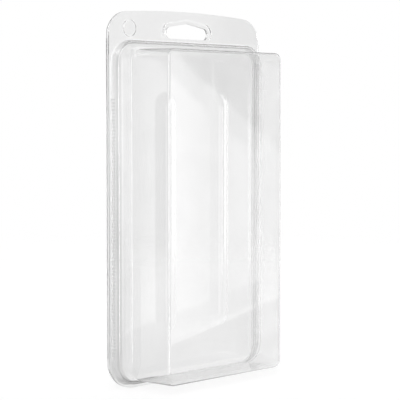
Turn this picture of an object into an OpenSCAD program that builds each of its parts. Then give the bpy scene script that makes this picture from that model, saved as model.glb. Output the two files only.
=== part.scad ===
// Clear thermoformed clamshell pack, shut and empty.
// A deep front shell and a shallow back shell fold together on a living hinge along the left edge.
// The front faces -Y and up is +Z. The origin is the middle of the hang hole, halfway between the flanges.

/* [Sheet] */
// Thickness of the clear sheet
sheet_t = 0.5; // [0.3:0.05:0.7]
// Gap between the two flanges when the pack is shut
flange_gap = 0.2; // [0.1:0.05:0.4]

/* [Flange] */
// Width of the flange
flange_w = 118.4; // [100:0.2:160]
// Height of the flange to the middle of its crowned top edge
flange_h = 207; // [170:1:260]
// Rise of the top edge from its ends to its middle
crown_rise = 2.7; // [1:0.1:6]
// Radius of the two top corners
top_corner_r = 15; // [8:0.5:17]
// Radius of the two bottom corners
bottom_corner_r = 18; // [8:0.5:20]

/* [Step] */
// Flat flange left at each side of the step
side_margin = 2.7; // [2:0.1:8]
// Flat flange left below the step
bottom_margin = 2.2; // [2:0.1:8]
// Flat header above the step
header_h = 16.9; // [16.5:0.1:30]
// Rise of the step above the flange
step_depth = 5.7; // [4:0.1:9]
// Radius of the step's corners
step_corner_r = 13; // [9:0.5:16]
// Draft angle of the step and plug walls
step_draft = 5.5; // [3:0.5:10]
// Rounding of the step's outer edge
step_edge_r = 1.2; // [0.8:0.1:1.6]

/* [Box] */
// Ledge between the step's edge and the box, at each side
ledge_side = 9.1; // [4:0.1:14]
// Ledge above the box
ledge_top = 4.3; // [2:0.1:10]
// Ledge below the box
ledge_bottom = 1.4; // [1:0.1:8]
// Depth of the box in front of the ledge
box_depth = 26.2; // [12:0.1:40]
// Draft angle of the box's side walls
box_side_draft = 6; // [2:0.5:8]
// Draft angle of the box's top and bottom walls
box_end_draft = 1.5; // [1:0.5:6]
// Corner radius of the box where it meets the ledge
box_corner_r = 7; // [5:0.5:10]
// Corner radius of the box's front face
box_front_corner_r = 4.5; // [3:0.5:6]
// Rounding of the box's front edge
box_edge_r = 1.4; // [0.9:0.1:2]

/* [Plug] */
// Clearance between the plug and the inside of the step
plug_clearance = 0.5; // [0.4:0.05:1]
// Space between the plug's face and the inside of the ledge
plug_headroom = 0.7; // [0.4:0.1:1.5]

/* [Ribs] */
// Width of a rib at the plug's face
rib_w = 14.5; // [8:0.5:20]
// Rise of a rib above the plug's face
rib_rise = 2.2; // [1.5:0.1:4]
// Distance between the middles of the two ribs
rib_spacing = 41.4; // [30:0.2:60]
// Length of a rib with its round ends
rib_length = 133; // [60:1:150]
// Height of the ribs' middle above the bottom of the flange
rib_middle = 95; // [85:1:105]

/* [Friction teeth] */
// Pitch of the teeth along the plug's long sides
tooth_pitch = 1.85; // [1.5:0.05:4]
// How far a tooth stands out of the plug's wall
tooth_rise = 0.3; // [0.15:0.05:0.35]
// Height of a tooth above the back flange
tooth_depth = 2.8; // [1.5:0.1:3.5]
// Height of the lowest tooth above the bottom of the flange
tooth_start = 18; // [17:0.5:40]
// Length of the row of teeth
tooth_run = 141; // [60:1:150]

/* [Hang hole] */
// Width of the hang hole
hole_w = 32; // [24:0.5:36]
// Height of the hang hole from its flat edge to its peak
hole_h = 8.7; // [7.5:0.1:12]
// Radius of the hole's two ends
hole_end_r = 3.3; // [2:0.1:3.6]
// Radius of the hole's peak
hole_peak_r = 2; // [1:0.1:3]
// Distance from the hole's flat edge down to the step
hole_above_step = 1.8; // [1.5:0.1:6]
// Distance from the hole's edge to the middle of the stiffening bead
bead_offset = 2.65; // [1.5:0.05:4]
// Width of the stiffening bead
bead_w = 1.6; // [0.8:0.1:2.4]
// Rise of the stiffening bead
bead_rise = 0.25; // [0.2:0.05:0.8]

/* [Ring mark] */
// Outer diameter of the raised ring in the header
ring_d = 10; // [6:0.5:12]
// Width of the raised ring
ring_w = 0.9; // [0.6:0.1:1.5]
// Rise of the raised ring
ring_rise = 0.15; // [0.1:0.05:0.5]
// Distance from the left edge to the ring's middle
ring_inset = 16.2; // [14:0.1:22]
// Distance from the ring's middle down to the step
ring_above_step = 6.3; // [5.5:0.1:10]

/* [Hinge] */
// Clearance between the hinge bead and the front flange
hinge_clearance = 0.15; // [0.1:0.05:0.3]

/* [Hidden] */
clear_front = [0.86, 0.9, 0.92, 0.45];
clear_back = [0.74, 0.8, 0.84, 0.45];
// Overrun of every cut, and the thickness of the slices that a pan is spanned between
overrun = 2;
slice_t = 0.01;
// Facets of a full circle in a pan, and the angle between the slices of its rounded edge
pan_fn = 32;
edge_angle = 22.5;

// Depths are measured forward from the plane halfway between the two flanges
front_back_z = flange_gap / 2;
front_face_z = front_back_z + sheet_t;
back_face_z = -flange_gap / 2;
ledge_z = front_face_z + step_depth;
box_front_z = ledge_z + box_depth;
plug_z = ledge_z - sheet_t - plug_headroom;

// The hinge bead is the round fold that joins the two flanges
hinge_r = front_face_z;
hinge_x = hinge_r - flange_w / 2;

// A rounded outline is [half width, bottom, top, corner radius]
step_top = flange_h - header_h;
step_base = [flange_w / 2 - side_margin, bottom_margin, step_top, step_corner_r];
step_crest = inset(step_base, step_depth * tan(step_draft));
box_side_taper = box_depth * tan(box_side_draft);
box_end_taper = box_depth * tan(box_end_draft);
box_base = [
    step_crest[0] - ledge_side,
    step_crest[1] + ledge_bottom,
    step_crest[2] - ledge_top,
    box_corner_r
];
box_crest = [
    box_base[0] - box_side_taper,
    box_base[1] + box_end_taper,
    box_base[2] - box_end_taper,
    box_front_corner_r
];
plug_base = inset(step_base, sheet_t + plug_clearance);
plug_crest = inset(plug_base, (plug_z - back_face_z) * tan(step_draft));

// The ribs are arcs of one circle, with the same arc turned at their ends
rib_r = (pow(rib_w / 2, 2) + pow(rib_rise, 2)) / (2 * rib_rise);
rib_axis_z = plug_z + rib_rise - rib_r;

// The hang hole is two end circles and a peak circle joined by their common tangents
hole_flat = step_top + hole_above_step;
hang_y = hole_flat + hole_h / 2;
end_x = hole_w / 2 - hole_end_r;
end_y = hole_flat + hole_end_r;
peak_y = hole_flat + hole_h - hole_peak_r;
peak_reach = norm([end_x, peak_y - end_y]);
tangent_angle = atan2(peak_y - end_y, end_x) + acos((hole_end_r - hole_peak_r) / peak_reach);

// The crown is an arc, and each top corner is a circle that touches it and the side
crown_r = (pow(flange_w / 2, 2) + pow(crown_rise, 2)) / (2 * crown_rise);
crown_y = flange_h - crown_r;
top_corner_x = flange_w / 2 - top_corner_r;
top_corner_y = crown_y + sqrt(pow(crown_r - top_corner_r, 2) - pow(top_corner_x, 2));
crown_angle = atan2(top_corner_y - crown_y, top_corner_x);

function inset(o, d) = [o[0] - d, o[1] + d, o[2] - d, o[3] - d];
function between(a, b, share) = a * (1 - share) + b * share;
function along(angle, length) = [cos(angle), sin(angle)] * length;

// Stands the flat layout up: its height becomes +Z and its depth comes forward to -Y
module stand() {
    translate([0, 0, -hang_y])
        rotate([90, 0, 0])
            children();
}

// One slice of a pan, set just under the given depth
module slice(o, z) {
    for (side = [-1, 1])
        for (y = [o[1] + o[3], o[2] - o[3]])
            translate([side * (o[0] - o[3]), y, z - slice_t])
                cylinder(r = o[3], h = slice_t, $fn = pan_fn);
}

// A solid drafted pan from outline base at z0 to outline crest at z1, with a rounded front edge.
// Its walls run on backwards past z0 by the length back.
module pan(base, crest, z0, z1, edge_r, back) {
    hull() {
        slice(between(base, crest, -back / (z1 - z0)), z0 - back + slice_t);
        for (a = [0:edge_angle:90])
            slice(inset(crest, edge_r * (1 - cos(a))), z1 - edge_r * (1 - sin(a)));
    }
}

// Outline of the flange with its crowned top and rounded corners
module flange_outline() {
    difference() {
        intersection() {
            translate([-flange_w / 2, 0])
                square([flange_w, flange_h]);
            translate([0, crown_y])
                circle(r = crown_r, $fn = 720);
        }
        for (side = [0, 1])
            mirror([side, 0]) {
                top_corner_waste();
                bottom_corner_waste();
            }
    }
}

// What a rounded top corner takes off the flange
module top_corner_waste() {
    middle = [top_corner_x, top_corner_y];
    far_x = flange_w / 2 + overrun;
    difference() {
        polygon([
            middle,
            [far_x, top_corner_y],
            [far_x, flange_h + overrun],
            [0, crown_y] + along(crown_angle, crown_r + overrun)
        ]);
        translate(middle)
            circle(r = top_corner_r, $fn = 96);
    }
}

// What a rounded bottom corner takes off the flange
module bottom_corner_waste() {
    middle = [flange_w / 2 - bottom_corner_r, bottom_corner_r];
    difference() {
        translate([middle[0], -overrun])
            square([bottom_corner_r + overrun, bottom_corner_r + overrun]);
        translate(middle)
            circle(r = bottom_corner_r, $fn = 96);
    }
}

// Outline of the hang hole, grown outwards by the length grow
module hole_outline(grow) {
    end_r = hole_end_r + grow;
    peak_r = hole_peak_r + grow;
    left_end = [-end_x, end_y] + along(tangent_angle, end_r);
    left_peak = [0, peak_y] + along(tangent_angle, peak_r);
    for (side = [-1, 1])
        translate([side * end_x, end_y])
            circle(r = end_r, $fn = 64);
    translate([0, peak_y])
        circle(r = peak_r, $fn = 64);
    polygon([
        [-end_x, end_y - end_r],
        [end_x, end_y - end_r],
        [-left_end[0], left_end[1]],
        [-left_peak[0], left_peak[1]],
        left_peak,
        left_end
    ]);
}

module hang_hole_cut() {
    translate([0, 0, back_face_z - sheet_t - overrun])
        linear_extrude(height = flange_gap + 2 * (sheet_t + overrun))
            hole_outline(0);
}

// Raised bead over the top and ends of the hang hole
module hole_bead() {
    translate([0, 0, front_face_z - sheet_t / 2])
        linear_extrude(height = sheet_t / 2 + bead_rise)
            intersection() {
                difference() {
                    hole_outline(bead_offset + bead_w / 2);
                    hole_outline(bead_offset - bead_w / 2);
                }
                translate([-flange_w / 2, hole_flat])
                    square([flange_w, header_h]);
            }
}

// Plain raised ring in the header's left corner
module ring_mark() {
    translate([ring_inset - flange_w / 2, step_top + ring_above_step, front_face_z - sheet_t / 2])
        linear_extrude(height = sheet_t / 2 + ring_rise)
            difference() {
                circle(d = ring_d, $fn = 64);
                circle(d = ring_d - 2 * ring_w, $fn = 64);
            }
}

// Everything left of the hinge axis, and a groove of the given radius around the axis
module hinge_cut(groove_r) {
    depth = hinge_r + overrun;
    translate([-flange_w / 2 - overrun, -overrun, -depth])
        cube([hinge_x + flange_w / 2 + overrun, flange_h + 2 * overrun, 2 * depth]);
    if (groove_r > 0)
        translate([hinge_x, -overrun, 0])
            rotate([-90, 0, 0])
                cylinder(r = groove_r, h = flange_h + 2 * overrun, $fn = 48);
}

// Round fold along the straight part of the left edge
module hinge_bead() {
    bead_length = top_corner_y - bottom_corner_r;
    translate([hinge_x, bottom_corner_r, 0])
        rotate([-90, 0, 0])
            cylinder(r = hinge_r, h = bead_length, $fn = 48);
}

// A rib's full round form, in from its outer face by the length depth
module rib_form(depth) {
    reach = rib_length / 2 - rib_w / 2;
    translate([0, rib_middle - reach, rib_axis_z]) {
        rotate([-90, 0, 0])
            cylinder(r = rib_r - depth, h = 2 * reach, $fn = 96);
        for (y = [0, 2 * reach])
            translate([0, y, 0])
                sphere(r = rib_r - depth, $fn = 96);
    }
}

// The part of a rib that stands out of the plug's face
module rib_crest() {
    intersection() {
        rib_form(0);
        translate([-rib_w, rib_middle - rib_length, plug_z - sheet_t / 2])
            cube([2 * rib_w, 2 * rib_length, rib_rise + sheet_t]);
    }
}

// One row of friction teeth on the plug's right-hand wall, leaning with its draft
module tooth_row() {
    count = floor(tooth_run / tooth_pitch);
    root = -sheet_t / 2;
    zigzag = [for (i = [0:2 * count]) [i % 2 == 0 ? 0 : tooth_rise, tooth_start + i * tooth_pitch / 2]];
    translate([plug_base[0], 0, back_face_z])
        rotate([0, -step_draft, 0])
            linear_extrude(height = tooth_depth)
                polygon(concat(
                    [[root, tooth_start]],
                    zigzag,
                    [[root, tooth_start + count * tooth_pitch]]
                ));
}

module front_shell() {
    color(clear_front)
        stand()
            difference() {
                union() {
                    translate([0, 0, front_back_z])
                        linear_extrude(height = sheet_t)
                            flange_outline();
                    pan(step_base, step_crest, front_face_z, ledge_z, step_edge_r, sheet_t / 2);
                    pan(box_base, box_crest, ledge_z, box_front_z, box_edge_r, sheet_t / 2);
                    hole_bead();
                    ring_mark();
                }
                pan(inset(step_base, sheet_t), inset(step_crest, sheet_t),
                    front_back_z, ledge_z - sheet_t, step_edge_r - sheet_t, overrun);
                pan(inset(box_base, sheet_t), inset(box_crest, sheet_t),
                    ledge_z - sheet_t, box_front_z - sheet_t, box_edge_r - sheet_t, overrun);
                hang_hole_cut();
                hinge_cut(hinge_r + hinge_clearance);
            }
}

module back_shell() {
    color(clear_back)
        stand()
            difference() {
                union() {
                    difference() {
                        translate([0, 0, back_face_z - sheet_t])
                            linear_extrude(height = sheet_t)
                                flange_outline();
                        hinge_cut(0);
                    }
                    hinge_bead();
                    pan(plug_base, plug_crest, back_face_z, plug_z, step_edge_r, sheet_t / 2);
                    for (side = [-1, 1])
                        translate([side * rib_spacing / 2, 0, 0])
                            rib_crest();
                    for (side = [0, 1])
                        mirror([side, 0, 0])
                            tooth_row();
                }
                pan(inset(plug_base, sheet_t), inset(plug_crest, sheet_t),
                    back_face_z - sheet_t, plug_z - sheet_t, step_edge_r - sheet_t, overrun);
                for (side = [-1, 1])
                    translate([side * rib_spacing / 2, 0, 0])
                        rib_form(sheet_t);
                hang_hole_cut();
            }
}

front_shell();
back_shell();
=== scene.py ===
"""Clear thermoformed clamshell pack: two thin shells on a living hinge, in a white studio."""

import math
from collections import namedtuple

import bmesh
import bpy
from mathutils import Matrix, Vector
from mathutils.geometry import tessellate_polygon


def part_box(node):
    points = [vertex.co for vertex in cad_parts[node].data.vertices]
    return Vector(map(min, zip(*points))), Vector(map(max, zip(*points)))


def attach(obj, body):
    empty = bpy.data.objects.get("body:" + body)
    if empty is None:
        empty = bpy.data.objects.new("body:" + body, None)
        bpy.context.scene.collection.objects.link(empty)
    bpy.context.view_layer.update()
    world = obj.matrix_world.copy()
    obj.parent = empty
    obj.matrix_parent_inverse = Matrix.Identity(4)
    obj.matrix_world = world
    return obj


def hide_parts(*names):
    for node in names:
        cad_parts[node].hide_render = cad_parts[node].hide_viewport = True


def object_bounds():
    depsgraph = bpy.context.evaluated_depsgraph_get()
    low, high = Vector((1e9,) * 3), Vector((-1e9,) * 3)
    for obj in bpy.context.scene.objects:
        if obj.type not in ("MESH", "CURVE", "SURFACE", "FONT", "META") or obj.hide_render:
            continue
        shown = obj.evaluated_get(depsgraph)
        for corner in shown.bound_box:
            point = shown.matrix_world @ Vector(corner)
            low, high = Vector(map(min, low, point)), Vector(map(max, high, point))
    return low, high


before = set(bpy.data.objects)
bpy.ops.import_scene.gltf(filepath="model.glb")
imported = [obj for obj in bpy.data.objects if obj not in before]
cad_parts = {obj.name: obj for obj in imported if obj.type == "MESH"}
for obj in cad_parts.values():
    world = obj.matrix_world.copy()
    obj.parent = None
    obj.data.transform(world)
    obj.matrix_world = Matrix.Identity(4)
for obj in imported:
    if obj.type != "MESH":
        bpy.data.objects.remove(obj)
cad_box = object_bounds()

# Units: the shells are laid out flat in millimetres, x across, y up from the flange's bottom and z forward
MM = 0.001
front_low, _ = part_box("front_shell")
back_low, back_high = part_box("back_shell")

# Sheet
SHEET_T = 0.5
FLANGE_GAP = 0.2

# Flange
FLANGE_W = (back_high.x - back_low.x) / MM
FLANGE_H = (back_high.z - back_low.z) / MM
HANG_Y = -back_low.z / MM
CROWN_RISE = 2.7
TOP_CORNER_R = 15
BOTTOM_CORNER_R = 18

# Step
SIDE_MARGIN = 2.7
BOTTOM_MARGIN = 2.2
HEADER_H = 16.9
STEP_DEPTH = 5.7
STEP_CORNER_R = 13
STEP_DRAFT = math.radians(5.5)
STEP_EDGE_R = 1.2
STEP_FOOT_R = 0.6
# The ledge droops a little towards the step's edge at the hinge side, and less near the bottom
SHOULDER_W = 2.0
SHOULDER_DROP = 0.2
SHOULDER_FADE = (8, 24)

# Box
LEDGE_SIDE = 9.1
LEDGE_TOP = 4.3
LEDGE_BOTTOM = 1.4
BOX_FRONT_Z = -front_low.y / MM
BOX_SIDE_DRAFT = math.radians(6)
BOX_END_DRAFT = math.radians(1.5)
BOX_CORNER_R = 7
BOX_FRONT_CORNER_R = 4.5
BOX_EDGE_R = 1.4
BOX_FOOT_R = 0.8
FACE_BOW = 0.1

# Plug and ribs
PLUG_CLEARANCE = 0.5
PLUG_HEADROOM = 0.7
PLUG_FOOT_R = 0.5
RIB_W = 14.5
RIB_RISE = 2.2
RIB_SPACING = 41.4
RIB_LENGTH = 133
RIB_MIDDLE = 95
RIB_FOOT_R = 2.0

# Friction teeth
TOOTH_PITCH = 1.85
TOOTH_RISE = 0.3
TOOTH_DEPTH = 2.8
TOOTH_START = 18
TOOTH_RUN = 141

# Hang hole and its bead
HOLE_W = 32
HOLE_H = 8.7
HOLE_END_R = 3.3
HOLE_PEAK_R = 2
HOLE_ABOVE_STEP = 1.8
BEAD_OFFSET = 2.65
BEAD_W = 1.6
BEAD_RISE = 0.25

# Ring mark
RING_D = 10
RING_W = 0.9
RING_RISE = 0.15
RING_INSET = 16.2
RING_ABOVE_STEP = 6.3

# Hinge
HINGE_CLEARANCE = 0.15

# Mesh density: steps round a corner, a fillet, an edge and along the sides of an outline
CORNER_STEPS = 12
FILLET_STEPS = 6
SIDE_STEPS = 48
END_STEPS = 24
WALL_STEPS = 4
# Width of the flat strip beside a fillet that keeps its shading off the flat faces
GUARD = 0.25
# The narrow ledge under the box leaves this share of the usual fillet and strip
NARROW_SHARE = 0.12
# Most that a sharp fold lengthens the way from the sheet's front to its back
MITRE_LIMIT = 1.3
# Steps across the width of a bead or the ring's bar, and round the ring
BEAD_STEPS = 8
RING_STEPS = 48
# Edges that turn by more than this are shaded sharp
SHARP_ANGLE = math.radians(35)

# Depths and outlines that follow from the sizes above
FRONT_FACE_Z = FLANGE_GAP / 2 + SHEET_T
BACK_FACE_Z = -FLANGE_GAP / 2
LEDGE_Z = FRONT_FACE_Z + STEP_DEPTH
PLUG_Z = LEDGE_Z - SHEET_T - PLUG_HEADROOM
BOX_DEPTH = BOX_FRONT_Z - LEDGE_Z
STEP_TOP = FLANGE_H - HEADER_H
HALF_W = FLANGE_W / 2
HINGE_R = FRONT_FACE_Z
HINGE_X = HINGE_R - HALF_W
HOLE_FLAT = STEP_TOP + HOLE_ABOVE_STEP

Outline = namedtuple("Outline", "half bottom top radius")


def inset(o, d, bottom=None):
    """Outline o moved in by d all round, or by another length at its bottom."""
    low = d if bottom is None else bottom
    return Outline(o.half - d, o.bottom + low, o.top - d, o.radius - d)


def between(a, b, share):
    """The outline that lies the given share of the way from a to b."""
    return Outline(*(p + (q - p) * share for p, q in zip(a, b)))


STEP_BASE = Outline(HALF_W - SIDE_MARGIN, BOTTOM_MARGIN, STEP_TOP, STEP_CORNER_R)
STEP_CREST = inset(STEP_BASE, STEP_DEPTH * math.tan(STEP_DRAFT))
BOX_BASE = Outline(
    STEP_CREST.half - LEDGE_SIDE,
    STEP_CREST.bottom + LEDGE_BOTTOM,
    STEP_CREST.top - LEDGE_TOP,
    BOX_CORNER_R,
)
BOX_CREST = Outline(
    BOX_BASE.half - BOX_DEPTH * math.tan(BOX_SIDE_DRAFT),
    BOX_BASE.bottom + BOX_DEPTH * math.tan(BOX_END_DRAFT),
    BOX_BASE.top - BOX_DEPTH * math.tan(BOX_END_DRAFT),
    BOX_FRONT_CORNER_R,
)
PLUG_BASE = inset(STEP_BASE, SHEET_T + PLUG_CLEARANCE)
PLUG_CREST = inset(PLUG_BASE, (PLUG_Z - BACK_FACE_Z) * math.tan(STEP_DRAFT))


def place(x, y, z):
    """Row-frame point, in metres, of a layout point in millimetres."""
    return Vector((x, -z, y - HANG_Y)) * MM


def arc(middle, radius, start, end, steps):
    """Points of an arc in the layout plane, both ends included, angles in degrees."""
    angles = [math.radians(start + (end - start) * i / steps) for i in range(steps + 1)]
    return [(middle[0] + radius * math.cos(a), middle[1] + radius * math.sin(a)) for a in angles]


def spread(start, end, steps):
    """Evenly spaced numbers from start to end, both included."""
    return [start + (end - start) * i / steps for i in range(steps + 1)]


class Sheet:
    """The front surface of a thin sheet, gathered as loops of layout points and the faces between them."""

    def __init__(self):
        self.points = []
        self.rises = []
        self.faces = []

    def loop(self, points):
        """Adds points and gives their numbers.
        A fourth value is a rise of the front that the back of the sheet doesn't follow."""
        first = len(self.points)
        for x, y, z, *rise in points:
            self.points.append((x, y, z))
            self.rises.append(rise[0] if rise else None)
        return list(range(first, len(self.points)))

    def bridge(self, outer, inner):
        """A closed band of quads from an outer loop to an inner loop of as many points."""
        for i in range(len(outer)):
            j = (i + 1) % len(outer)
            self.faces.append((outer[i], outer[j], inner[j], inner[i]))

    def rings(self, loops):
        """Bridges each loop of points to the next, and gives the first and last loop's numbers."""
        numbers = [self.loop(points) for points in loops]
        for outer, inner in zip(numbers, numbers[1:]):
            self.bridge(outer, inner)
        return numbers[0], numbers[-1]

    def fill(self, boundary, holes=()):
        """Triangles over a flat boundary loop, leaving out the loops in holes."""
        loops = [boundary, *holes]
        numbers = [n for loop in loops for n in loop]
        outlines = [[Vector(self.points[n]) for n in loop] for loop in loops]
        for triangle in tessellate_polygon(outlines):
            a, b, c = (numbers[k] for k in triangle)
            (ax, ay, _), (bx, by, _), (cx, cy, _) = (self.points[n] for n in (a, b, c))
            facing = (bx - ax) * (cy - ay) - (by - ay) * (cx - ax)
            self.faces.append((a, b, c) if facing > 0 else (a, c, b))

    def build(self, name, material):
        """The sheet as a solid of its full thickness, behind its front surface."""
        solid = bmesh.new()
        fronts = [solid.verts.new(place(*p)) for p in self.points]
        for face in self.faces:
            solid.faces.new([fronts[n] for n in face])
        solid.normal_update()
        solid.verts.index_update()
        rim = [edge.link_loops[0] for edge in solid.edges if edge.is_boundary]
        rim = [(loop.vert.index, loop.link_loop_next.vert.index) for loop in rim]
        backs = []
        for vert, rise in zip(fronts, self.rises):
            depth = SHEET_T * min(vert.calc_shell_factor(), MITRE_LIMIT) if rise is None else SHEET_T + rise
            backs.append(solid.verts.new(vert.co - vert.normal * depth * MM))
        for face in self.faces:
            solid.faces.new([backs[n] for n in reversed(face)])
        for a, b in rim:
            solid.faces.new((fronts[b], fronts[a], backs[a], backs[b]))
        mesh = bpy.data.meshes.new(name)
        solid.to_mesh(mesh)
        solid.free()
        mesh.materials.append(material)
        shade(mesh)
        obj = bpy.data.objects.new(name, mesh)
        bpy.context.scene.collection.objects.link(obj)
        return obj


def apply_modifiers(obj):
    """Replaces an object's mesh by its modified form."""
    graph = bpy.context.evaluated_depsgraph_get()
    solid = bpy.data.meshes.new_from_object(obj.evaluated_get(graph))
    obj.modifiers.clear()
    obj.data = solid


def shade(mesh):
    """Smooth shading with sharp cut edges."""
    mesh.polygons.foreach_set("use_smooth", [True] * len(mesh.polygons))
    mesh.set_sharp_from_angle(angle=SHARP_ANGLE)


# Outlines and rings


def ring(o, z, side_ys=None):
    """Points round a rounded outline at depth z, anticlockwise from the foot of its right side."""
    cx = o.half - o.radius
    low = o.bottom + o.radius
    high = o.top - o.radius
    ys = side_ys or spread(low, high, SIDE_STEPS)
    xs = spread(-cx, cx, END_STEPS)
    flat = [(o.half, y) for y in ys]
    flat += arc((cx, high), o.radius, 0, 90, CORNER_STEPS)[1:-1]
    flat += [(x, o.top) for x in reversed(xs)]
    flat += arc((-cx, high), o.radius, 90, 180, CORNER_STEPS)[1:-1]
    flat += [(-o.half, y) for y in reversed(ys)]
    flat += arc((-cx, low), o.radius, 180, 270, CORNER_STEPS)[1:-1]
    flat += [(x, o.bottom) for x in xs]
    flat += arc((cx, low), o.radius, 270, 360, CORNER_STEPS)[1:-1]
    return [(x, y, z) for x, y in flat]


def wall_outlines(base, crest, z0, z1, foot_r, edge_r, foot_share=1, edge_guard_share=1):
    """Outlines and depths up a drafted wall, from a round foot on z0 to a round edge under z1.
    The foot and the strips keep only the given shares of their width at the bottom of the outline."""
    steps = []
    height = z1 - edge_r - z0
    out = foot_r + GUARD
    steps.append((inset(base, -out, -out * foot_share), z0))
    for angle in spread(0, math.pi / 2, FILLET_STEPS):
        rise = foot_r * (1 - math.cos(angle))
        out = foot_r * (1 - math.sin(angle))
        steps.append((inset(between(base, crest, rise / height), -out, -out * foot_share), z0 + rise))
    for rise in spread(foot_r, height, WALL_STEPS)[1:-1]:
        steps.append((between(base, crest, rise / height), z0 + rise))
    for angle in spread(0, math.pi / 2, FILLET_STEPS):
        steps.append((inset(crest, edge_r * (1 - math.cos(angle))), z1 - edge_r * (1 - math.sin(angle))))
    steps.append((inset(crest, edge_r + GUARD, edge_r + GUARD * edge_guard_share), z1))
    return steps


def crown():
    """Middle and radius of the crown's arc, and the middle of the right top corner."""
    radius = (HALF_W**2 + CROWN_RISE**2) / (2 * CROWN_RISE)
    middle_y = FLANGE_H - radius
    corner_x = HALF_W - TOP_CORNER_R
    corner_y = middle_y + math.sqrt((radius - TOP_CORNER_R) ** 2 - corner_x**2)
    return middle_y, radius, corner_x, corner_y


def flange_loop(z, left_x):
    """The flange's outline with its crowned top, cut off straight at left_x."""
    middle_y, radius, corner_x, corner_y = crown()
    turn = math.degrees(math.atan2(corner_y - middle_y, corner_x))
    foot_x = HALF_W - BOTTOM_CORNER_R
    flat = arc((corner_x, corner_y), TOP_CORNER_R, 0, turn, CORNER_STEPS)
    flat += arc((0, middle_y), radius, turn, 180 - turn, END_STEPS)[1:-1]
    flat += arc((-corner_x, corner_y), TOP_CORNER_R, 180 - turn, 180, CORNER_STEPS)
    flat += arc((-foot_x, BOTTOM_CORNER_R), BOTTOM_CORNER_R, 180, 270, CORNER_STEPS)
    flat += arc((foot_x, BOTTOM_CORNER_R), BOTTOM_CORNER_R, 270, 360, CORNER_STEPS)
    return [(max(x, left_x), y, z) for x, y in flat]


def hole_path(grow, end_angle, steps):
    """Points over the hang hole from its right end to its left end, grown outwards."""
    end_x = HOLE_W / 2 - HOLE_END_R
    end_y = HOLE_FLAT + HOLE_END_R
    peak_y = HOLE_FLAT + HOLE_H - HOLE_PEAK_R
    reach = math.hypot(end_x, peak_y - end_y)
    lean = math.acos((HOLE_END_R - HOLE_PEAK_R) / reach)
    tangent = 180 - math.degrees(math.atan2(peak_y - end_y, end_x) + lean)
    path = arc((end_x, end_y), HOLE_END_R + grow, end_angle, tangent, steps)
    path += arc((0, peak_y), HOLE_PEAK_R + grow, tangent, 180 - tangent, steps)
    path += arc((-end_x, end_y), HOLE_END_R + grow, 180 - tangent, 180 - end_angle, steps)
    return path


def hole_loop(z):
    """The hang hole: a low triangle with round ends and a round peak, over a flat edge."""
    return [(x, y, z) for x, y in hole_path(0, -90, CORNER_STEPS)]


# Raised details of the header


def crest_rise(share):
    """Height share of a rounded bead at the given share of its width, 0 at both edges."""
    return math.sin(math.pi * share) ** 2


def hole_bead(sheet, z):
    """Stiffening bead over the top and ends of the hang hole. Gives the loop round it."""
    end_angle = -math.degrees(math.asin(HOLE_END_R / (HOLE_END_R + BEAD_OFFSET)))
    guard = GUARD / BEAD_W
    rows = []
    for share in [-guard, *spread(0, 1, BEAD_STEPS), 1 + guard]:
        path = hole_path(BEAD_OFFSET + BEAD_W * (0.5 - share), end_angle, CORNER_STEPS)
        rise = BEAD_RISE * crest_rise(share) if 0 <= share <= 1 else 0
        ends = (0, 1, len(path) - 2, len(path) - 1)
        heights = [z if i in ends else z + rise for i in range(len(path))]
        rows.append(sheet.loop([(x, y, height) for (x, y), height in zip(path, heights)]))
    for outer, inner in zip(rows, rows[1:]):
        for i in range(len(outer) - 1):
            sheet.faces.append((outer[i], outer[i + 1], inner[i + 1], inner[i]))
    right_end = [row[0] for row in rows[1:-1]]
    left_end = [row[-1] for row in rows[1:-1]]
    return rows[0] + left_end + rows[-1][::-1] + right_end[::-1]


def ring_mark(sheet, z):
    """Plain raised ring in the header's left corner. Gives the loop round it."""
    middle = (RING_INSET - HALF_W, STEP_TOP + RING_ABOVE_STEP)
    guard = GUARD / RING_W
    loops = []
    for share in [-guard, *spread(0, 1, BEAD_STEPS), 1 + guard]:
        flat = arc(middle, RING_D / 2 - RING_W * share, 0, 360, RING_STEPS)[:-1]
        rise = RING_RISE * crest_rise(min(max(share, 0), 1))
        loops.append([(x, y, z + rise) for x, y in flat])
    outer, inner = sheet.rings(loops)
    sheet.fill(inner)
    return outer


# Front shell


def bowed_face(sheet, edge, o):
    """A grid over the box's front face inside the ring edge of outline o, bowed in a little."""
    cx = o.half - o.radius
    low = o.bottom + o.radius
    high = o.top - o.radius
    xs = spread(-cx, cx, END_STEPS)
    ys = spread(low, high, SIDE_STEPS)

    def depth(x, y):
        across = 1 - (x / o.half) ** 2
        along = 1 - ((2 * y - o.top - o.bottom) / (o.top - o.bottom)) ** 2
        return BOX_FRONT_Z - FACE_BOW * across * along

    grid = [sheet.loop([(x, y, depth(x, y)) for x in xs]) for y in ys]
    for lower, upper in zip(grid, grid[1:]):
        for i in range(END_STEPS):
            sheet.faces.append((lower[i], lower[i + 1], upper[i + 1], upper[i]))
    # The edge ring runs up the right side, over the top, down the left side and along the bottom
    right = edge[: SIDE_STEPS + 1]
    corner = CORNER_STEPS - 1
    start = SIDE_STEPS + 1 + corner
    top = edge[start : start + END_STEPS + 1]
    start += END_STEPS + 1 + corner
    left = edge[start : start + SIDE_STEPS + 1]
    start += SIDE_STEPS + 1 + corner
    bottom = edge[start : start + END_STEPS + 1]
    inner_right = [row[-1] for row in grid]
    inner_top = grid[-1][::-1]
    inner_left = [row[0] for row in reversed(grid)]
    inner_bottom = grid[0]
    sides = ((right, inner_right), (top, inner_top), (left, inner_left), (bottom, inner_bottom))
    for outer, inner in sides:
        for i in range(len(outer) - 1):
            sheet.faces.append((outer[i], outer[i + 1], inner[i + 1], inner[i]))
    # Each corner is a fan of triangles round the grid's corner point
    for outer, inner in sides:
        first = edge.index(outer[-1])
        fan = [edge[(first + i) % len(edge)] for i in range(CORNER_STEPS + 1)]
        for a, b in zip(fan, fan[1:]):
            sheet.faces.append((a, b, inner[-1]))


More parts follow.
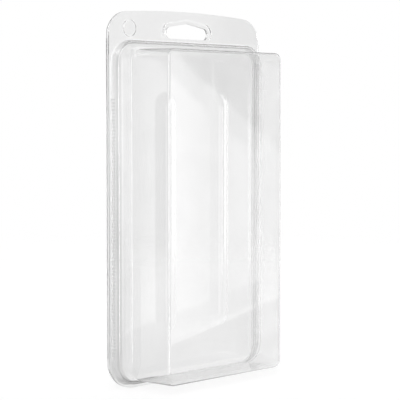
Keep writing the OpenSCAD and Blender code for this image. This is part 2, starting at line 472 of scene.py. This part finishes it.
def drooped(points, share):
    """Points let down by a share of the shoulder's drop: by less near the bottom, and not at the right."""
    low, high = SHOULDER_FADE
    moved = []
    for x, y, z in points:
        drop = SHOULDER_DROP * share
        for length in (y - STEP_BASE.bottom, low - x):
            fade = min(max((length - low) / (high - low), 0), 1)
            drop *= fade * fade * (3 - 2 * fade)
        moved.append((x, y, z - drop))
    return moved


def front_shell(material):
    """The deep half: flange and header, raised step, ledge and box."""
    sheet = Sheet()
    z = FRONT_FACE_Z
    outline = sheet.loop(flange_loop(z, HINGE_X + HINGE_R + HINGE_CLEARANCE))
    hole = sheet.loop(hole_loop(z))
    bead = hole_bead(sheet, z)
    mark = ring_mark(sheet, z)
    step = wall_outlines(
        STEP_BASE, STEP_CREST, z, LEDGE_Z, STEP_FOOT_R, STEP_EDGE_R, edge_guard_share=NARROW_SHARE
    )
    box = wall_outlines(
        BOX_BASE, BOX_CREST, LEDGE_Z, BOX_FRONT_Z, BOX_FOOT_R, BOX_EDGE_R, foot_share=NARROW_SHARE
    )
    edge_rings = [ring(o, depth) for o, depth in step[-FILLET_STEPS - 2 : -1]]
    loops = [ring(o, depth) for o, depth in step[: -FILLET_STEPS - 2]]
    loops += [drooped(points, 1) for points in edge_rings]
    crest = step[-2][0]
    for share in spread(0, 1, FILLET_STEPS)[1:]:
        out = SHOULDER_W * share
        shoulder = inset(crest, out, out * NARROW_SHARE * GUARD / SHOULDER_W)
        loops.append(drooped(ring(shoulder, LEDGE_Z), (1 - share) ** 2))
    loops += [ring(o, depth) for o, depth in box]
    foot, edge = sheet.rings(loops)
    sheet.fill(outline, [hole, bead, mark, foot])
    bowed_face(sheet, edge, box[-1][0])
    return sheet.build("front_shell_clear", material)


# Back shell


def tooth_heights():
    """Heights of the valleys and tips along a row of teeth."""
    count = math.floor(TOOTH_RUN / TOOTH_PITCH)
    return [TOOTH_START + i * TOOTH_PITCH / 2 for i in range(2 * count + 1)]


def toothed_ring(o, z, teeth, rise):
    """A ring whose long sides run out to a tip at every other tooth height."""
    low = o.bottom + o.radius
    high = o.top - o.radius
    points = ring(o, z, [low, *teeth, high])
    tips = set(teeth[1::2])
    moved = []
    for x, y, depth in points:
        if rise and y in teeth and abs(abs(x) - o.half) < GUARD:
            tip = rise if y in tips else 0
            moved.append((x + math.copysign(tip, x), y, depth, tip))
        else:
            moved.append((x, y, depth))
    return moved


def stadium(x, half, low, high, z):
    """Points round a slot-shaped loop of the given half width about the line from low to high."""
    flat = arc((x, high), half, 0, 180, 2 * CORNER_STEPS) + arc((x, low), half, 180, 360, 2 * CORNER_STEPS)
    return [(px, py, z) for px, py in flat]


def rib(sheet, x):
    """One long round rib on the plug's face. Gives the loop round its foot."""
    low = RIB_MIDDLE - RIB_LENGTH / 2 + RIB_W / 2
    high = RIB_MIDDLE + RIB_LENGTH / 2 - RIB_W / 2
    radius = ((RIB_W / 2) ** 2 + RIB_RISE**2) / (2 * RIB_RISE)
    axis_z = PLUG_Z + RIB_RISE - radius
    foot_z = PLUG_Z + RIB_FOOT_R
    foot_half = math.sqrt((radius + RIB_FOOT_R) ** 2 - (foot_z - axis_z) ** 2)
    lean = math.atan2(foot_half, foot_z - axis_z)
    section = [(foot_half + GUARD, PLUG_Z)]
    for angle in spread(0, lean, FILLET_STEPS):
        section.append((foot_half - RIB_FOOT_R * math.sin(angle), foot_z - RIB_FOOT_R * math.cos(angle)))
    for angle in spread(lean, 0, 2 * FILLET_STEPS)[1:-1]:
        section.append((radius * math.sin(angle), axis_z + radius * math.cos(angle)))
    foot, crest = sheet.rings([stadium(x, half, low, high, z) for half, z in section])
    sheet.fill(crest)
    return foot


def hinge_bead():
    """The round fold along the straight part of the left edge, as a closed tube."""
    corner_y = crown()[3]
    circle = arc((HINGE_X, 0), HINGE_R, 0, 360, 2 * CORNER_STEPS)[:-1]
    count = len(circle)
    ends = [place(x, y, z) for y in (BOTTOM_CORNER_R, corner_y) for x, z in circle]
    faces = [(i, i + count, (i + 1) % count + count, (i + 1) % count) for i in range(count)]
    faces.append(tuple(range(count)))
    faces.append(tuple(range(2 * count - 1, count - 1, -1)))
    mesh = bpy.data.meshes.new("hinge_bead")
    mesh.from_pydata(ends, [], faces)
    obj = bpy.data.objects.new("hinge_bead", mesh)
    bpy.context.scene.collection.objects.link(obj)
    return obj


def back_shell(material):
    """The shallow half: flange and header, plug with teeth and ribs, and the hinge's fold."""
    sheet = Sheet()
    z = BACK_FACE_Z
    outline = sheet.loop(flange_loop(z, HINGE_X))
    hole = sheet.loop(hole_loop(z))
    teeth = tooth_heights()
    loops = []
    for o, depth in wall_outlines(PLUG_BASE, PLUG_CREST, z, PLUG_Z, PLUG_FOOT_R, STEP_EDGE_R):
        on_teeth = PLUG_FOOT_R / 2 < depth - z < TOOTH_DEPTH
        loops.append(toothed_ring(o, depth, teeth, TOOTH_RISE if on_teeth else 0))
    foot, edge = sheet.rings(loops)
    sheet.fill(outline, [hole, foot])
    ribs = [rib(sheet, side * RIB_SPACING / 2) for side in (-1, 1)]
    sheet.fill(edge, ribs)
    obj = sheet.build("back_shell_clear", material)
    bead = hinge_bead()
    join = obj.modifiers.new("hinge", "BOOLEAN")
    join.operation = "UNION"
    join.solver = "EXACT"
    join.object = bead
    apply_modifiers(obj)
    shade(obj.data)
    bpy.data.objects.remove(bead)
    return obj


# Ways in the row frame
ACROSS = (1, 0, 0)
FORWARD = (0, -1, 0)
UP = (0, 0, 1)


# Steps of a node tree


def grey(level):
    """An opaque grey as a colour."""
    return (level, level, level, 1)


def node_material(name):
    """A new material with its nodes and links."""
    material = bpy.data.materials.new(name)
    material.use_nodes = True
    return material, material.node_tree.nodes, material.node_tree.links


def feed(links, value, socket):
    """Gives a socket the value of another socket, or a constant."""
    if isinstance(value, bpy.types.NodeSocket):
        links.new(value, socket)
    else:
        socket.default_value = value


def value_step(nodes, links, operation, *values):
    """One calculation on sockets or constants."""
    step = nodes.new("ShaderNodeMath")
    step.operation = operation
    for value, socket in zip(values, step.inputs):
        feed(links, value, socket)
    return step.outputs["Value"]


def vector_step(nodes, links, operation, socket, value=None):
    """One vector calculation on a socket, with a fixed second value if it takes one."""
    step = nodes.new("ShaderNodeVectorMath")
    step.operation = operation
    links.new(socket, step.inputs[0])
    if value is not None:
        step.inputs[1].default_value = value
    return step.outputs["Value"] if operation in ("LENGTH", "DOT_PRODUCT") else step.outputs["Vector"]


def mixed(nodes, links, kind, factor, first, second):
    """Two values or colours, each a socket or a constant, mixed by a factor."""
    mix = nodes.new("ShaderNodeMix")
    mix.data_type = kind
    sockets = [socket for socket in mix.inputs if socket.enabled]
    for value, socket in zip((factor, first, second), sockets):
        feed(links, value, socket)
    return next(socket for socket in mix.outputs if socket.enabled)


def mix_surfaces(nodes, links, factor, first, second, output="Material Output"):
    """Shows two shaders mixed by a factor."""
    mix = nodes.new("ShaderNodeMixShader")
    for value, socket in zip((factor, first, second), mix.inputs):
        links.new(value, socket)
    links.new(mix.outputs["Shader"], nodes[output].inputs["Surface"])


def remapped(nodes, links, socket, span, levels=(0, 1), easing="LINEAR"):
    """A value that goes from one level to the other over a span, and stays level beyond it."""
    remap = nodes.new("ShaderNodeMapRange")
    remap.interpolation_type = easing
    for name, value in zip(("From Min", "From Max", "To Min", "To Max"), (*span, *levels)):
        remap.inputs[name].default_value = value
    links.new(socket, remap.inputs["Value"])
    return remap.outputs["Result"]


def ramp(nodes, links, socket, stops):
    """Grey levels over a value, eased between stops of (value, level)."""
    low = stops[0][0]
    high = stops[-1][0]
    colours = nodes.new("ShaderNodeValToRGB")
    colours.color_ramp.interpolation = "EASE"
    while len(colours.color_ramp.elements) < len(stops):
        colours.color_ramp.elements.new(1)
    for element, (value, level) in zip(colours.color_ramp.elements, stops):
        element.position = (value - low) / (high - low)
        element.color = grey(level)
    links.new(remapped(nodes, links, socket, (low, high)), colours.inputs["Fac"])
    return colours.outputs["Color"]


# Materials

PLASTIC_IOR = 1.53
# Greys of the clear sheet and of its hazier patches
CLEAR_GREY = 0.962
HAZY_GREY = 0.942
# Roughness in patches, on the step's walls and in the hinge's fold
PATCH_HAZE = (0.01, 0.05)
WALL_HAZE = 0.07
FOLD_HAZE = 0.35
# Noise waves a metre of the patches, the haze and the sheet's waviness, and the height of the last
PATCH_WAVES = 60
HAZE_WAVES = 90
SHEET_WAVES = 45
WAVE_HEIGHT = 0.00002
# Noise detail of the haze and of the rest, and the part of the noise's range that is used
HAZE_DETAIL = 4
NOISE_DETAIL = 2
NOISE_SPAN = (0.3, 0.7)
# Levels over shares of the pitch, from a tooth's valley to its tip
TIP_SHARES = ((0, 0), (1 / 5, 0), (1 / 3, 1), (1 / 2, 1))

# A place where light or shade is painted into the sheet's colour. It has a grey, fitted to the photo's view,
# and weights over millimetres across, forward and up from the pack's origin and out from the step's outline.
# A grey lighter than the sheet's paints light, a darker one paints shade.
# One with teeth set shows on the tips of the teeth only.
Tint = namedtuple("Tint", "grey across forward up out teeth", defaults=(None, None, None, None, False))


def painted_light_and_shade():
    """The light and shade painted on the sheet by name, in the order in which they are laid over each other.
    """
    half = STEP_BASE.half
    wall = BOX_BASE.half
    edge = BOX_CREST.half
    plug = PLUG_BASE.half
    bottom = -HANG_Y
    top = STEP_TOP - HANG_Y
    teeth_low = TOOTH_START - HANG_Y
    teeth_high = teeth_low + TOOTH_RUN
    front = BOX_FRONT_Z
    ledge = LEDGE_Z
    face = FRONT_FACE_Z
    on_flange = ((-face, 1), (face + 0.1, 1), (face + 0.5, 0))
    return {
        # Painted light: the step's walls are drawn lighter than the sheet. The same mask makes them hazier.
        "step_walls_painted_light_and_haze": Tint(
            grey=1.0,
            across=((-half, 0), (5 - half, 0), (12 - half, 1), (half, 1)),
            out=((-6, 0), (-5, 1), (0.5, 1), (1, 0)),
        ),
        # Painted shade: a darker band along the top of the step, under the header.
        "under_header": Tint(
            grey=0.97,
            up=((top - 4.5, 0), (top - 3.5, 1), (top + 0.2, 1), (top + 0.6, 0)),
        ),
        # Painted shade: a darker strip along the step's side at the hinge.
        "beside_hinge": Tint(
            grey=0.89,
            across=((-half - 0.5, 0), (0.1 - half, 1), (2.2 - half, 1), (3 - half, 0)),
        ),
        # Painted shade: a dark line just under the step's edge at the hinge side.
        "under_crest": Tint(
            grey=0.78,
            across=((-half - 1, 1), (1 - half, 1), (1.6 - half, 0), (half, 0)),
            forward=(
                (-1, 0),
                (ledge - 2.6, 0),
                (ledge - 1.9, 1),
                (ledge - 1.1, 1),
                (ledge - 0.6, 0),
                (front, 0),
            ),
        ),
        # Painted shade: darker step walls round the bottom corner at the hinge side.
        "bottom_corner": Tint(
            grey=0.76,
            across=(
                (-half, 0.3),
                (2.2 - half, 0.3),
                (6 - half, 1),
                (24 - half, 1),
                (36 - half, 0),
                (half, 0),
            ),
            up=((bottom, 1), (bottom + 20, 1), (bottom + 30, 0), (0, 0)),
            out=((-3, 0), (-2.2, 1), (-0.1, 1), (0.5, 0)),
        ),
        # Painted light: the flange and header are drawn lighter, fading out downwards.
        "header": Tint(
            grey=1.0,
            forward=on_flange,
            up=((bottom, 0), (top - 60, 0), (top + 1.2, 1), (top + HEADER_H, 1)),
        ),
        # Painted shade: the header's right part is a little darker.
        "header_right": Tint(
            grey=0.98,
            across=((0, 0), (15, 0), (40, 1), (half, 1)),
            forward=on_flange,
            up=((bottom, 0), (top, 0), (top + 2, 1), (top + HEADER_H, 1)),
        ),
        # Painted shade: the box's wall at the hinge side is drawn darker.
        "hinge_side_wall": Tint(
            grey=0.9,
            across=(
                (-wall - 0.8, 0),
                (-wall, 1),
                (0.6 - wall, 1),
                (1.4 - wall, 0.65),
                (1.9 - wall, 0.3),
                (3.5 - wall, 0.3),
                (4.5 - wall, 0),
            ),
            forward=((ledge - 1, 0), (ledge, 1), (front, 1)),
        ),
        # Painted shade: the box's right wall is drawn darker about its middle.
        "right_wall": Tint(
            grey=0.915,
            across=((0, 0), (edge - 3, 0), (edge - 2, 1), (wall, 1)),
            forward=(
                (ledge, 0),
                (front - 19, 0),
                (front - 14, 1),
                (front - 4, 1),
                (front - 2, 0),
                (front, 0),
            ),
            up=((bottom, 0), (bottom + 25, 0), (bottom + 42, 1), (top - 68, 1), (top - 50, 0), (top, 0)),
        ),
        # Painted shade: a dark line along the box's right front edge.
        "right_edge": Tint(
            grey=0.8,
            across=((edge - 1.2, 0), (edge - 0.5, 1), (edge + 2, 1)),
            forward=((front - 2.5, 0), (front - 1.2, 1), (front, 1)),
        ),
        # Painted light: the band between the hinge and the box is drawn lighter in its upper part.
        "hinge_band_high": Tint(
            grey=1.0,
            across=((-HALF_W, 0.45), (-wall - 5, 0.45), (-wall - 3, 0), (half, 0)),
            up=((top - 110, 0), (top - 80, 0.3), (top - 50, 1), (top - 35, 0.9), (top - 10, 0.35)),
        ),
        # Painted shade: the same band is drawn a little darker in its lower part.
        "hinge_band_low": Tint(
            grey=0.5,
            across=(
                (-HALF_W, 0.1),
                (-wall - 5, 0.1),
                (-wall - 3.5, 0.05),
                (-wall - 1, 0.05),
                (-wall, 0),
                (half, 0),
            ),
            up=(
                (bottom, 0.6),
                (bottom + 10, 0.7),
                (bottom + 29, 1),
                (bottom + 45, 0.95),
                (bottom + 65, 0.6),
                (bottom + 100, 0),
            ),
        ),
        # Painted shade: the lower left of the box's front is a touch darker.
        "front_low": Tint(
            grey=0.995,
            across=((-half, 1), (-8, 1), (5, 0.6), (12, 0), (half, 0)),
            forward=((front - 2, 0), (front - 1, 1), (front, 1)),
            up=((bottom, 0), (bottom + 9, 0), (bottom + 14, 1), (bottom + 30, 1), (bottom + 42, 0)),
        ),
        # Painted light: the hinge's fold is drawn lighter. The same mask makes it hazier.
        "fold": Tint(
            grey=1.0,
            across=((-HALF_W, 1), (HINGE_X + 0.7, 1), (HINGE_X + 1, 0), (HALF_W, 0)),
        ),
        # Painted shade: dark dashes on the tips of the teeth.
        "tooth_tips": Tint(
            grey=0.69,
            across=((-plug - TOOTH_RISE - 0.1, 0), (-plug - TOOTH_RISE, 1), (0.3 - plug, 1), (0.5 - plug, 0)),
            forward=((-1, 1), (TOOTH_DEPTH - 0.4, 1), (TOOTH_DEPTH, 0)),
            up=((teeth_low, 0), (teeth_low + TOOTH_PITCH, 1), (teeth_high - TOOTH_PITCH, 1), (teeth_high, 0)),
            teeth=True,
        ),
    }


def noise(nodes, links, coordinates, scale, detail=NOISE_DETAIL):
    """A noise texture in object space; scale is in waves a metre."""
    texture = nodes.new("ShaderNodeTexNoise")
    texture.inputs["Scale"].default_value = scale
    texture.inputs["Detail"].default_value = detail
    links.new(coordinates, texture.inputs["Vector"])
    return texture.outputs["Fac"]


def place_mask(nodes, links, coordinates, way, stops):
    """Levels over the place along one way, in millimetres from the pack's origin."""
    along = vector_step(nodes, links, "DOT_PRODUCT", coordinates, way)
    return ramp(nodes, links, along, [(value * MM, level) for value, level in stops])


def wall_mask(nodes, links, coordinates, stops):
    """Levels round the step's walls, over millimetres out from its outline."""
    o = STEP_BASE
    middle = (0, 0, ((o.bottom + o.top) / 2 - HANG_Y) * MM)
    core = ((o.half - o.radius) * MM, 0, ((o.top - o.bottom) / 2 - o.radius) * MM)
    way = vector_step(nodes, links, "SUBTRACT", coordinates, middle)
    way = vector_step(nodes, links, "MULTIPLY", way, (1, 0, 1))
    way = vector_step(nodes, links, "SUBTRACT", vector_step(nodes, links, "ABSOLUTE", way), core)
    reach = vector_step(nodes, links, "LENGTH", vector_step(nodes, links, "MAXIMUM", way, (0, 0, 0)))
    return ramp(nodes, links, reach, [((o.radius + value) * MM, level) for value, level in stops])


def tooth_mask(nodes, links, coordinates):
    """1 at the heights of the tooth tips, 0 at those of the valleys."""
    start = (0, 0, (TOOTH_START - HANG_Y) * MM)
    height = vector_step(nodes, links, "SUBTRACT", coordinates, start)
    height = vector_step(nodes, links, "DOT_PRODUCT", height, UP)
    wave = value_step(nodes, links, "PINGPONG", height, TOOTH_PITCH / 2 * MM)
    return ramp(nodes, links, wave, [(share * TOOTH_PITCH * MM, level) for share, level in TIP_SHARES])


def painted_light_mask(nodes, links, coordinates, painted_patch):
    """The weight of one patch of painted light or shade: the product of its weights along each way."""
    ways = ((ACROSS, painted_patch.across), (FORWARD, painted_patch.forward), (UP, painted_patch.up))
    masks = [place_mask(nodes, links, coordinates, way, stops) for way, stops in ways if stops]
    if painted_patch.out:
        masks.append(wall_mask(nodes, links, coordinates, painted_patch.out))
    if painted_patch.teeth:
        masks.append(tooth_mask(nodes, links, coordinates))
    weight = masks[0]
    for mask in masks[1:]:
        weight = value_step(nodes, links, "MULTIPLY", weight, mask)
    return weight


def clear_plastic(name):
    """Clear formed sheet: glossy, faintly hazy in patches and a little wavy, as drawn film is.
    Light and shade are painted into its colour in given places.
    """
    material, nodes, links = node_material(name)
    shader = nodes["Principled BSDF"]
    shader.inputs["IOR"].default_value = PLASTIC_IOR
    shader.inputs["Transmission Weight"].default_value = 1.0
    coordinates = nodes.new("ShaderNodeTexCoord").outputs["Object"]
    patches = remapped(nodes, links, noise(nodes, links, coordinates, PATCH_WAVES), NOISE_SPAN)
    colour = mixed(nodes, links, "RGBA", patches, grey(CLEAR_GREY), grey(HAZY_GREY))
    masks = {}
    # Painted light and shade: each place mixes the sheet's colour towards its lighter or darker grey.
    for spot, painted_patch in painted_light_and_shade().items():
        masks[spot] = painted_light_mask(nodes, links, coordinates, painted_patch)
        colour = mixed(nodes, links, "RGBA", masks[spot], colour, grey(painted_patch.grey))
    links.new(colour, shader.inputs["Base Color"])
    haze = noise(nodes, links, coordinates, HAZE_WAVES, HAZE_DETAIL)
    haze = remapped(nodes, links, haze, NOISE_SPAN, PATCH_HAZE)
    haze = mixed(nodes, links, "FLOAT", masks["step_walls_painted_light_and_haze"], haze, WALL_HAZE)
    haze = mixed(nodes, links, "FLOAT", masks["fold"], haze, FOLD_HAZE)
    links.new(haze, shader.inputs["Roughness"])
    bump = nodes.new("ShaderNodeBump")
    bump.inputs["Distance"].default_value = WAVE_HEIGHT
    links.new(noise(nodes, links, coordinates, SHEET_WAVES), bump.inputs["Height"])
    links.new(bump.outputs["Normal"], shader.inputs["Normal"])
    return material


# Studio

CAMERA_AZIMUTH = math.radians(-44.41)
CAMERA_ELEVATION = math.radians(3.47)
CAMERA_DISTANCE = 0.7791
CAMERA_TARGET = Vector((0.01009, -0.00064, -0.09518))
CAMERA_LENS = 122.7
SENSOR_W = 36

# The table: its gap under the pack, the distances over which it fades out, and its front edge
FLOOR_GAP = 0.0002
FLOOR_FADE = (0.4, 1.0)
FLOOR_EDGE = Vector((0.084, -0.166))
FLOOR_TURN = math.radians(-26.7)
FLOOR_COLOUR = 0.2
FLOOR_ROUGHNESS = 0.9
# Light that it gives off towards the eye, and in reflections at distances back from its front edge
FLOOR_LIFT = 0.89
FLOOR_MIRROR = ((0.0, 1.1), (0.006, 1.1), (0.008, 0.3), (0.065, 0.3), (0.12, 0.85))

# Mirrored light: a bright backdrop behind the pack, a dim room in front of it and a dim ceiling
ROOM_LEVEL = 0.45
BACKDROP_LEVEL = 1.0
BACKDROP_WAY = Vector((0.342, 0.94, 0.0))
BACKDROP_SPAN = (0.25, 0.97)
FRONT_SHARE = 0.35
FRONT_DIM = ((-1, 1), (0.2, 1), (0.8, FRONT_SHARE), (1, FRONT_SHARE))
CEILING_SHARE = 0.75
CEILING_SPAN = (0.08, 0.4)
# Low light on the backdrop: added levels over the share of the way up, and over how squarely it lies behind
BACK_LIGHT_UP = ((-1, 0), (0.0, 0), (0.04, 0.2), (0.16, 0.2), (0.3, 0), (1, 0))
BACK_LIGHT_WAY = ((-1, 0), (0.5, 0), (0.8, 1), (1, 1))
# Tall strip lights: azimuth from the front, half width and added level
STRIP_LIGHTS = (
    (math.radians(77), math.radians(8), 2.8),
    (math.radians(-42), math.radians(11), 7.0),
)
# Shares of the half width between which a strip light's edge fades
STRIP_EDGE = (1.3, 0.7)

SOFTBOX_PLACE = Vector((0.738, -1.040, -0.228))
SOFTBOX_R = 0.289
SOFTBOX_STRENGTH = 1.5
SOFTBOX_SIDES = 8
# The frame ends at this share of the radius above the middle
SOFTBOX_TOP = 1.04
# Shares of the radius and of the strength: from left to right, and from the middle out to the dark frame
SOFTBOX_ACROSS = (
    (-1.5, 0.08),
    (-0.75, 0.08),
    (-0.6, 0.9),
    (-0.02, 0.9),
    (0.1, 0.08),
    (0.16, 0.08),
    (0.28, 0.35),
    (0.46, 1.0),
    (0.63, 0.7),
    (0.77, 0.5),
    (1.5, 0.45),
)
SOFTBOX_FRAME = ((0.0, 1.0), (0.985, 1.0), (1.02, 0.0), (1.3, 0.0), (1.5, 0.2))
# Light beside the frame, from its left to its right
SOFTBOX_SPILL = ((-1.5, 0.0), (0.82, 0.0), (0.92, 0.25), (1.03, 0.3), (1.1, 2.0), (1.5, 2.0))

# A ray's mirrorings are counted in whole numbers, so this tells none from one
MIRRORED_ONCE = 0.5
# Light passes many walls of the nested shells on its way
BOUNCES = 96


def mirrored(nodes, links):
    """1 for light that was mirrored on its way, 0 for what is seen directly or through clear sheet."""
    path = nodes.new("ShaderNodeLightPath")
    return value_step(nodes, links, "GREATER_THAN", path.outputs["Glossy Depth"], MIRRORED_ONCE)


def seen_through(nodes, links):
    """1 for what is seen directly or straight through clear sheet, 0 for mirrored or scattered light."""
    path = nodes.new("ShaderNodeLightPath")
    straight = value_step(nodes, links, "LESS_THAN", path.outputs["Glossy Depth"], MIRRORED_ONCE)
    through = value_step(nodes, links, "MULTIPLY", path.outputs["Is Transmission Ray"], straight)
    return value_step(nodes, links, "MAXIMUM", path.outputs["Is Camera Ray"], through)


def strip_light(nodes, links, flat_way, azimuth, half_width, glow):
    """Levels of a tall strip light over the level way in which a ray goes."""
    facing = vector_step(nodes, links, "DOT_PRODUCT", flat_way, (math.sin(azimuth), -math.cos(azimuth), 0))
    outer, inner = (math.cos(half_width * share) for share in STRIP_EDGE)
    return ramp(nodes, links, facing, [(outer, 0), (inner, glow), (1, glow)])


def studio_world():
    """White where it is seen directly or through the pack.
    Mirrored light comes from a white backdrop and a grey room."""
    world = bpy.data.worlds.new("studio")
    world.use_nodes = True
    nodes = world.node_tree.nodes
    links = world.node_tree.links
    white = nodes["Background"]
    white.inputs["Color"].default_value = grey(1)
    room = nodes.new("ShaderNodeBackground")
    way = nodes.new("ShaderNodeTexCoord").outputs["Generated"]
    behind = vector_step(nodes, links, "DOT_PRODUCT", way, BACKDROP_WAY)
    forward = vector_step(nodes, links, "DOT_PRODUCT", way, FORWARD)
    height = vector_step(nodes, links, "DOT_PRODUCT", way, UP)
    level = remapped(nodes, links, behind, BACKDROP_SPAN, (ROOM_LEVEL, BACKDROP_LEVEL), "SMOOTHSTEP")
    level = value_step(nodes, links, "MULTIPLY", level, ramp(nodes, links, forward, FRONT_DIM))
    low_light = ramp(nodes, links, height, BACK_LIGHT_UP)
    low_light = value_step(nodes, links, "MULTIPLY", low_light, ramp(nodes, links, behind, BACK_LIGHT_WAY))
    level = value_step(nodes, links, "ADD", level, low_light)
    flat_way = vector_step(nodes, links, "MULTIPLY", way, (1, 1, 0))
    flat_way = vector_step(nodes, links, "NORMALIZE", flat_way)
    for strip in STRIP_LIGHTS:
        level = value_step(nodes, links, "ADD", level, strip_light(nodes, links, flat_way, *strip))
    ceiling = remapped(nodes, links, height, CEILING_SPAN, (1, CEILING_SHARE), "SMOOTHSTEP")
    links.new(value_step(nodes, links, "MULTIPLY", level, ceiling), room.inputs["Strength"])
    shaders = (room.outputs["Background"], white.outputs["Background"])
    mix_surfaces(nodes, links, seen_through(nodes, links), *shaders, output="World Output")
    bpy.context.scene.world = world


def flat_piece(name, points, material):
    """One flat face through the given points, as part of the stage."""
    mesh = bpy.data.meshes.new(name)
    mesh.from_pydata(points, [], [tuple(range(len(points)))])
    mesh.materials.append(material)
    obj = bpy.data.objects.new(name, mesh)
    bpy.context.scene.collection.objects.link(obj)
    return obj


def pale_floor():
    """A pale table top with a straight front edge.
    It keeps the pack's soft shadow and fades out further off."""
    material, nodes, links = node_material("pale_floor")
    surface = nodes["Principled BSDF"]
    surface.inputs["Base Color"].default_value = grey(FLOOR_COLOUR)
    surface.inputs["Roughness"].default_value = FLOOR_ROUGHNESS
    surface.inputs["Specular IOR Level"].default_value = 0.0
    surface.inputs["Emission Color"].default_value = grey(1)
    along = Vector((math.cos(FLOOR_TURN), math.sin(FLOOR_TURN)))
    back = Vector((-along.y, along.x))
    coordinates = nodes.new("ShaderNodeTexCoord").outputs["Object"]
    depth = vector_step(nodes, links, "DOT_PRODUCT", coordinates, (back.x, back.y, 0))
    edge = FLOOR_EDGE.dot(back)
    mirror = ramp(nodes, links, depth, [(edge + value, level) for value, level in FLOOR_MIRROR])
    mirror = value_step(nodes, links, "MULTIPLY", mirrored(nodes, links), mirror)
    glow = value_step(nodes, links, "MULTIPLY_ADD", seen_through(nodes, links), FLOOR_LIFT, mirror)
    links.new(glow, surface.inputs["Emission Strength"])
    reach = vector_step(nodes, links, "LENGTH", coordinates)
    fade = remapped(nodes, links, reach, FLOOR_FADE, easing="SMOOTHSTEP")
    clear = nodes.new("ShaderNodeBsdfTransparent")
    mix_surfaces(nodes, links, fade, surface.outputs["BSDF"], clear.outputs["BSDF"])
    side = along * FLOOR_FADE[1]
    far = back * 2 * FLOOR_FADE[1]
    corners = (FLOOR_EDGE - side, FLOOR_EDGE + side, FLOOR_EDGE + side + far, FLOOR_EDGE - side + far)
    floor = flat_piece("pale_floor", [(c.x, c.y, 0) for c in corners], material)
    floor.location.z = cad_box[0].z - FLOOR_GAP


def softbox():
    """An eight-sided softbox with a dark frame at the front right.
    It shows only in the pack's reflections."""
    material, nodes, links = node_material("softbox")
    nodes.remove(nodes["Principled BSDF"])
    coordinates = nodes.new("ShaderNodeTexCoord").outputs["Object"]
    reach = 0
    for turn in range(SOFTBOX_SIDES // 2):
        angle = 2 * math.pi * turn / SOFTBOX_SIDES
        across = vector_step(nodes, links, "DOT_PRODUCT", coordinates, (math.cos(angle), math.sin(angle), 0))
        reach = value_step(nodes, links, "MAXIMUM", reach, value_step(nodes, links, "ABSOLUTE", across))
    sideways = vector_step(nodes, links, "DOT_PRODUCT", coordinates, (-1, 0, 0))
    levels = []
    for socket, shares in ((sideways, SOFTBOX_ACROSS), (reach, SOFTBOX_FRAME), (sideways, SOFTBOX_SPILL)):
        levels.append(ramp(nodes, links, socket, [(share * SOFTBOX_R, glow) for share, glow in shares]))
    light = nodes.new("ShaderNodeEmission")
    light.inputs["Strength"].default_value = SOFTBOX_STRENGTH
    links.new(value_step(nodes, links, "MULTIPLY_ADD", *levels), light.inputs["Color"])
    clear = nodes.new("ShaderNodeBsdfTransparent")
    mix_surfaces(nodes, links, mirrored(nodes, links), clear.outputs["BSDF"], light.outputs["Emission"])
    outer = SOFTBOX_R * SOFTBOX_FRAME[-1][0] / math.cos(math.pi / SOFTBOX_SIDES)
    turns = [2 * math.pi * (i + 0.5) / SOFTBOX_SIDES for i in range(SOFTBOX_SIDES)]
    high = SOFTBOX_R * SOFTBOX_TOP
    points = [(outer * math.cos(t), min(outer * math.sin(t), high), 0) for t in turns]
    obj = flat_piece("softbox", points, material)
    obj.location = SOFTBOX_PLACE
    obj.rotation_euler = (CAMERA_TARGET - SOFTBOX_PLACE).to_track_quat("Z", "Y").to_euler()


def camera():
    """The photograph's view of the pack."""
    data = bpy.data.cameras.new("camera")
    data.lens = CAMERA_LENS
    data.sensor_width = SENSOR_W
    back = Vector((
        math.sin(CAMERA_AZIMUTH) * math.cos(CAMERA_ELEVATION),
        -math.cos(CAMERA_AZIMUTH) * math.cos(CAMERA_ELEVATION),
        math.sin(CAMERA_ELEVATION),
    ))
    obj = bpy.data.objects.new("camera", data)
    obj.location = CAMERA_TARGET + back * CAMERA_DISTANCE
    obj.rotation_euler = back.to_track_quat("Z", "Y").to_euler()
    bpy.context.scene.collection.objects.link(obj)
    bpy.context.scene.camera = obj


front = front_shell(clear_plastic("clear_front"))
back = back_shell(clear_plastic("clear_back"))
for piece, node, slot, body in (
    (front, "front_shell", "clear_front", "front"),
    (back, "back_shell", "clear_back", "back"),
):
    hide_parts(node)
    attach(piece, body)

studio_world()
pale_floor()
softbox()
camera()

scene = bpy.context.scene
scene.view_settings.view_transform = "Standard"
scene.cycles.max_bounces = BOUNCES
scene.cycles.transmission_bounces = BOUNCES
scene.cycles.glossy_bounces = BOUNCES
